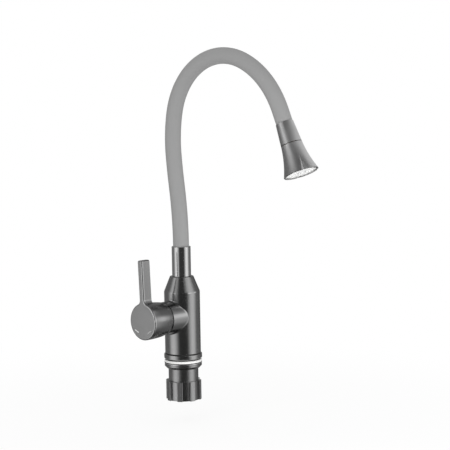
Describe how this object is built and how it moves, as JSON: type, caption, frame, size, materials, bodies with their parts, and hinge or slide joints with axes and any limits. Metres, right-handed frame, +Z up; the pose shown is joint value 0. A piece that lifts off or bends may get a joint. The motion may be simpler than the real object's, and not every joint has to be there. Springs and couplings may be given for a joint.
{
  "type": "kitchen mixer tap",
  "caption": "Single-lever kitchen mixer with a straight round body, side lever, self-supporting flexible silicone spout and bell-shaped spray head.",
  "frame": {"origin": "on the body axis at the deck seat plane, the flat underside of the deck seal", "axes": "+Z up along the body axis, the spout reaches out along -Y and the lever axis points along -X"},
  "size_m": [0.0921, 0.2456, 0.4407],
  "materials": {
    "body_metal": "satin dark nickel plating on cast brass",
    "lever_metal": "satin nickel plating on cast zinc",
    "ferrule_metal": "bright nickel plating",
    "trim_metal": "polished plating",
    "head_metal": "satin plating",
    "nut_metal": "satin plating",
    "shank_brass": "machined",
    "brass": "machined",
    "steel": "plain stainless",
    "slip_metal": "bright plated steel",
    "core_steel": "interlocked strip",
    "hose_silicone": "matt grey silicone",
    "water_hose": "smooth drinking water hose",
    "black_rubber": "moulded",
    "nozzle_rubber": "moulded silicone",
    "white_plastic": "moulded",
    "cartridge_plastic": "moulded",
    "spray_plastic": "moulded",
    "aerator_plastic": "moulded",
    "ceramic": "lapped alumina ceramic",
    "mark_light": "inlaid enamel",
    "mark_grey": "inlaid enamel"
  },
  "bodies": {
    "tap_body": {"mixer_body": "body_metal", "body_seal": "black_rubber", "base_ring": "body_metal", "base_seal": "black_rubber", "seat_ring": "white_plastic", "deck_seal": "black_rubber", "threaded_shank": "shank_brass", "cartridge_base": "cartridge_plastic", "port_seals": "black_rubber", "fixed_ceramic_disc": "ceramic", "cartridge_shell": "cartridge_plastic", "cartridge_nut": "steel", "dome_ring": "trim_metal", "spout_stop_screw": "steel"},
    "clamp_washers": {"slip_washer": "slip_metal", "clamp_washer": "nut_metal"},
    "clamp_nut": {"mounting_nut": "nut_metal"},
    "stem_turn": {"stem_guide": "cartridge_plastic", "stem_pin": "steel"},
    "lever_arm": {"lever": "lever_metal", "lever_stem": "brass", "lever_grub_screw": "steel", "hot_mark": "mark_light", "cold_mark": "mark_grey"},
    "disc_shift": {"disc_carrier": "cartridge_plastic", "moving_ceramic_disc": "ceramic"},
    "spout": {"spout_ferrule": "ferrule_metal", "lower_slip_ring": "white_plastic", "upper_slip_ring": "white_plastic", "swivel_seals": "black_rubber", "lower_barb": "brass", "lower_crimp": "steel", "hose_sleeve_lower": "hose_silicone", "hose_bend_side": "hose_silicone", "hose_core_lower": "core_steel", "water_hose_lower": "water_hose"},
    "hose_middle": {"hose_sleeve_middle": "hose_silicone", "hose_bend_rise": "hose_silicone", "hose_core_middle": "core_steel", "water_hose_middle": "water_hose"},
    "hose_arch": {"hose_sleeve_arch": "hose_silicone", "hose_bend_fall": "hose_silicone", "hose_core_arch": "core_steel", "water_hose_arch": "water_hose"},
    "hose_head": {"hose_sleeve_head": "hose_silicone", "hose_core_head": "core_steel", "water_hose_head": "water_hose", "hose_collar": "head_metal", "head_connector": "brass", "head_seal": "black_rubber", "head_clip": "steel", "upper_crimp": "steel"},
    "spray": {"swivel_hub": "cartridge_plastic", "spray_bell": "head_metal", "nozzle_mat": "nozzle_rubber", "spray_face": "spray_plastic", "aerator": "aerator_plastic"}
  },
  "joints": [
    {"name": "clamp_travel", "type": "slide", "parent": "tap_body", "child": "clamp_washers", "axis": [0, 0, -1], "range_m": [0, 0.028]},
    {"name": "clamp_nut_turn", "type": "hinge", "parent": "clamp_washers", "child": "clamp_nut", "pos_m": [0, 0, -0.02], "axis": [0, 0, -1], "range_deg": [0, 5040]},
    {"name": "lever_turn", "type": "hinge", "parent": "tap_body", "child": "stem_turn", "pos_m": [-0.036, 0, 0.0593], "axis": [-1, 0, 0], "range_deg": [-47.7, 42.3]},
    {"name": "lever_tilt", "type": "hinge", "parent": "stem_turn", "child": "lever_arm", "pos_m": [-0.036, 0, 0.0593], "axis": [0, -0.9989, 0.0471], "range_deg": [0, 22]},
    {"name": "disc_slide", "type": "slide", "parent": "stem_turn", "child": "disc_shift", "axis": [0, 0.0471, 0.9989], "range_m": [0, 0.0052]},
    {"name": "spout_swivel", "type": "hinge", "parent": "tap_body", "child": "spout", "pos_m": [0, 0, 0.11], "axis": [0, 0, 1], "continuous": true},
    {"name": "hose_side_bend", "type": "hinge", "parent": "spout", "child": "hose_middle", "pos_m": [0, 0.00127, 0.18297], "axis": [0, 0.9976, -0.0698], "range_deg": [-25, 25], "deforming": ["hose_bend_side", "hose_core_lower", "water_hose_lower"]},
    {"name": "hose_rise_bend", "type": "hinge", "parent": "hose_middle", "child": "hose_arch", "pos_m": [0, 0.00809, 0.24143], "axis": [1, 0, 0], "range_deg": [-20, 25], "deforming": ["hose_bend_rise", "hose_core_middle", "water_hose_middle"]},
    {"name": "hose_fall_bend", "type": "hinge", "parent": "hose_arch", "child": "hose_head", "pos_m": [0, -0.11185, 0.37694], "axis": [1, 0, 0], "range_deg": [-30, 30], "deforming": ["hose_bend_fall", "hose_core_arch", "water_hose_arch", "hose_core_head", "water_hose_head"]},
    {"name": "spray_turn", "type": "hinge", "parent": "hose_head", "child": "spray", "pos_m": [0, -0.17735, 0.30406], "axis": [0, -0.3987, -0.9171], "range_deg": [0, 90]}
  ],
  "couplings": [
    {"joint": "clamp_travel", "follows": "clamp_nut_turn", "m_per_rad": 0.00031831},
    {"joint": "disc_slide", "follows": "lever_tilt", "m_per_rad": 0.013366}
  ]
}
